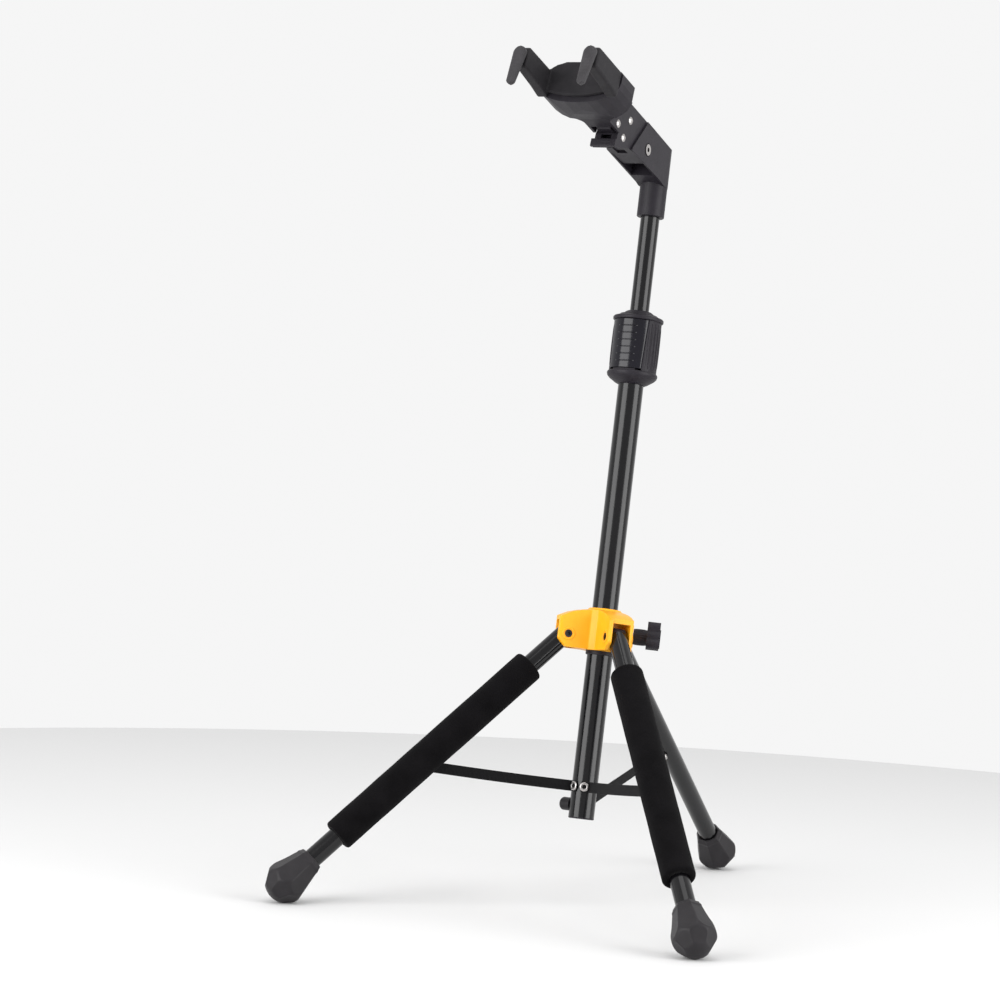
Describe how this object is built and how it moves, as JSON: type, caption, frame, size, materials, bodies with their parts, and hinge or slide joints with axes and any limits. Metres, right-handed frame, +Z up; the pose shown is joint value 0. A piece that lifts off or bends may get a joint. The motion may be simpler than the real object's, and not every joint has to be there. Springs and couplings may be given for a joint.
{
  "type": "guitar stand",
  "caption": "Folding tripod floor stand with a height clutch, a yellow leg hub and a neck cradle whose hanging fingers close when it tilts.",
  "frame": {"origin": "middle of the stand's box at floor level", "axes": "+Z up, -Y the front where the guitar hangs, +X its right-hand side seen from above with the front towards the viewer"},
  "size_m": [0.4688, 0.5854, 0.827],
  "materials": {
    "black_tube": "gloss black paint on steel tube",
    "hub_yellow": "smooth moulded yellow",
    "gloss_charcoal": "glossy moulded",
    "rubber_grey": "soft matte rubber",
    "foot_rubber": "moulded rubber",
    "foam": "matte closed-cell foam",
    "webbing": "flat woven webbing",
    "satin_steel": "satin plated",
    "dark_steel": "blackened socket screws",
    "charcoal_plastic": "moulded, fine satin grain"
  },
  "bodies": {
    "mast": {"lower_mast_tube": "black_tube", "strap_anchor_rivets": "satin_steel", "foot_bumper": "foot_rubber", "mast_foot_plug": "charcoal_plastic", "clutch_lower_cap": "charcoal_plastic", "clutch_body": "charcoal_plastic", "clutch_core": "charcoal_plastic", "clutch_top_cap": "charcoal_plastic", "trigger_spring": "satin_steel"},
    "clutch_trigger": {"clutch_trigger": "gloss_charcoal"},
    "upper_mast": {"upper_mast_tube": "black_tube", "tube_guide_bush": "charcoal_plastic", "neck_elbow": "charcoal_plastic", "fold_pin": "satin_steel"},
    "fold_link": {"fold_link": "charcoal_plastic", "link_rivets": "satin_steel", "tilt_pin": "satin_steel", "tilt_spring": "satin_steel", "lever_spring": "satin_steel"},
    "release_lever": {"release_lever": "charcoal_plastic"},
    "cradle": {"cradle_housing": "charcoal_plastic", "prong_frame": "satin_steel", "cradle_sleeve": "rubber_grey"},
    "finger_left": {"grip_finger_left": "rubber_grey", "finger_shaft_left": "satin_steel"},
    "finger_right": {"grip_finger_right": "rubber_grey", "finger_shaft_right": "satin_steel"},
    "hub": {"hub_casting": "hub_yellow", "leg_pivot_screws": "dark_steel", "leg_pivot_nuts": "dark_steel", "clamp_insert": "satin_steel", "hub_bushing": "charcoal_plastic"},
    "clamp_knob": {"clamp_knob": "charcoal_plastic", "clamp_screw": "satin_steel"},
    "leg_left": {"leg_tube_left": "black_tube", "leg_head_plug_left": "charcoal_plastic", "foot_left": "foot_rubber", "leg_strap_rivet_left": "satin_steel", "foam_sleeve_left": "foam"},
    "strap_left": {"strap_left": "webbing"},
    "leg_right": {"leg_tube_right": "black_tube", "leg_head_plug_right": "charcoal_plastic", "foot_right": "foot_rubber", "leg_strap_rivet_right": "satin_steel", "foam_sleeve_right": "foam"},
    "strap_right": {"strap_right": "webbing"},
    "leg_rear": {"leg_tube_rear": "black_tube", "leg_head_plug_rear": "charcoal_plastic", "foot_rear": "foot_rubber", "leg_strap_rivet_rear": "satin_steel"},
    "strap_rear": {"strap_rear": "webbing"}
  },
  "joints": [
    {"name": "hub_slide", "type": "slide", "parent": "mast", "child": "hub", "axis": [0, 0.1421, 0.9899], "range_m": [0, 0.2025], "deforming": ["strap_left", "strap_right", "strap_rear"]},
    {"name": "leg_fold_left", "type": "hinge", "parent": "hub", "child": "leg_left", "pos_m": [-0.02855, -0.07142, 0.26588], "axis": [0.6622, -0.7417, 0.1064], "range_deg": [0, 39.31]},
    {"name": "strap_lift_left", "type": "hinge", "parent": "mast", "child": "strap_left", "pos_m": [-0.00989, -0.07603, 0.11764], "axis": [-0.6622, 0.7417, -0.1064], "range_deg": [0, 80.32]},
    {"name": "leg_fold_right", "type": "hinge", "parent": "hub", "child": "leg_right", "pos_m": [0.02855, -0.07142, 0.26588], "axis": [0.6622, 0.7417, -0.1064], "range_deg": [0, 39.31]},
    {"name": "strap_lift_right", "type": "hinge", "parent": "mast", "child": "strap_right", "pos_m": [0.00989, -0.07603, 0.11764], "axis": [-0.6622, -0.7417, 0.1064], "range_deg": [0, 80.32]},
    {"name": "leg_fold_rear", "type": "hinge", "parent": "hub", "child": "leg_rear", "pos_m": [0, -0.00873, 0.25689], "axis": [-1, 0, 0], "range_deg": [0, 55.06]},
    {"name": "strap_lift_rear", "type": "hinge", "parent": "mast", "child": "strap_rear", "pos_m": [0, -0.0563, 0.10066], "axis": [1, 0, 0], "range_deg": [0, 61.82]},
    {"name": "clamp_knob_turn", "type": "hinge", "parent": "hub", "child": "clamp_knob", "pos_m": [0.02735, -0.03345, 0.26599], "axis": [0.9116, 0.4069, -0.0584], "range_deg": [0, 360]},
    {"name": "clutch_trigger_press", "type": "slide", "parent": "mast", "child": "clutch_trigger", "axis": [0, 0.9899, -0.1421], "range_m": [0, 0.0025], "stiffness_N_per_m": 1500, "springref_m": -0.002, "deforming": ["trigger_spring"]},
    {"name": "height_slide", "type": "slide", "parent": "mast", "child": "upper_mast", "axis": [0, 0.1421, 0.9899], "range_m": [-0.031, 0.334]},
    {"name": "head_fold", "type": "hinge", "parent": "upper_mast", "child": "fold_link", "pos_m": [0, -0.03039, 0.74653], "axis": [1, 0, 0], "range_deg": [0, 101.5]},
    {"name": "release_press", "type": "hinge", "parent": "fold_link", "child": "release_lever", "pos_m": [0, -0.0837, 0.75305], "axis": [-1, 0, 0], "range_deg": [0, 7], "stiffness_Nm_per_rad": 0.8, "springref_deg": -5.73, "deforming": ["lever_spring"]},
    {"name": "cradle_tilt", "type": "hinge", "parent": "fold_link", "child": "cradle", "pos_m": [0, -0.10103, 0.76519], "axis": [1, 0, 0], "range_deg": [0, 6], "stiffness_Nm_per_rad": 5, "springref_deg": -5.73, "deforming": ["tilt_spring"]},
    {"name": "finger_left_close", "type": "hinge", "parent": "cradle", "child": "finger_left", "pos_m": [-0.0366, -0.21405, 0.81801], "axis": [0, -0.9417, 0.3366], "range_deg": [0, 90.1]},
    {"name": "finger_right_close", "type": "hinge", "parent": "cradle", "child": "finger_right", "pos_m": [0.0366, -0.21405, 0.81801], "axis": [0, 0.9417, -0.3366], "range_deg": [0, 90.1]}
  ],
  "couplings": [
    {"joint": "leg_fold_left", "follows": "hub_slide", "rad_per_m": 3.3861},
    {"joint": "strap_lift_left", "follows": "hub_slide", "rad_per_m": 6.9207},
    {"joint": "leg_fold_right", "follows": "hub_slide", "rad_per_m": 3.3861},
    {"joint": "strap_lift_right", "follows": "hub_slide", "rad_per_m": 6.9207},
    {"joint": "leg_fold_rear", "follows": "hub_slide", "rad_per_m": 4.744},
    {"joint": "strap_lift_rear", "follows": "hub_slide", "rad_per_m": 5.3265},
    {"joint": "finger_left_close", "follows": "cradle_tilt", "ratio": 15},
    {"joint": "finger_right_close", "follows": "cradle_tilt", "ratio": 15}
  ]
}
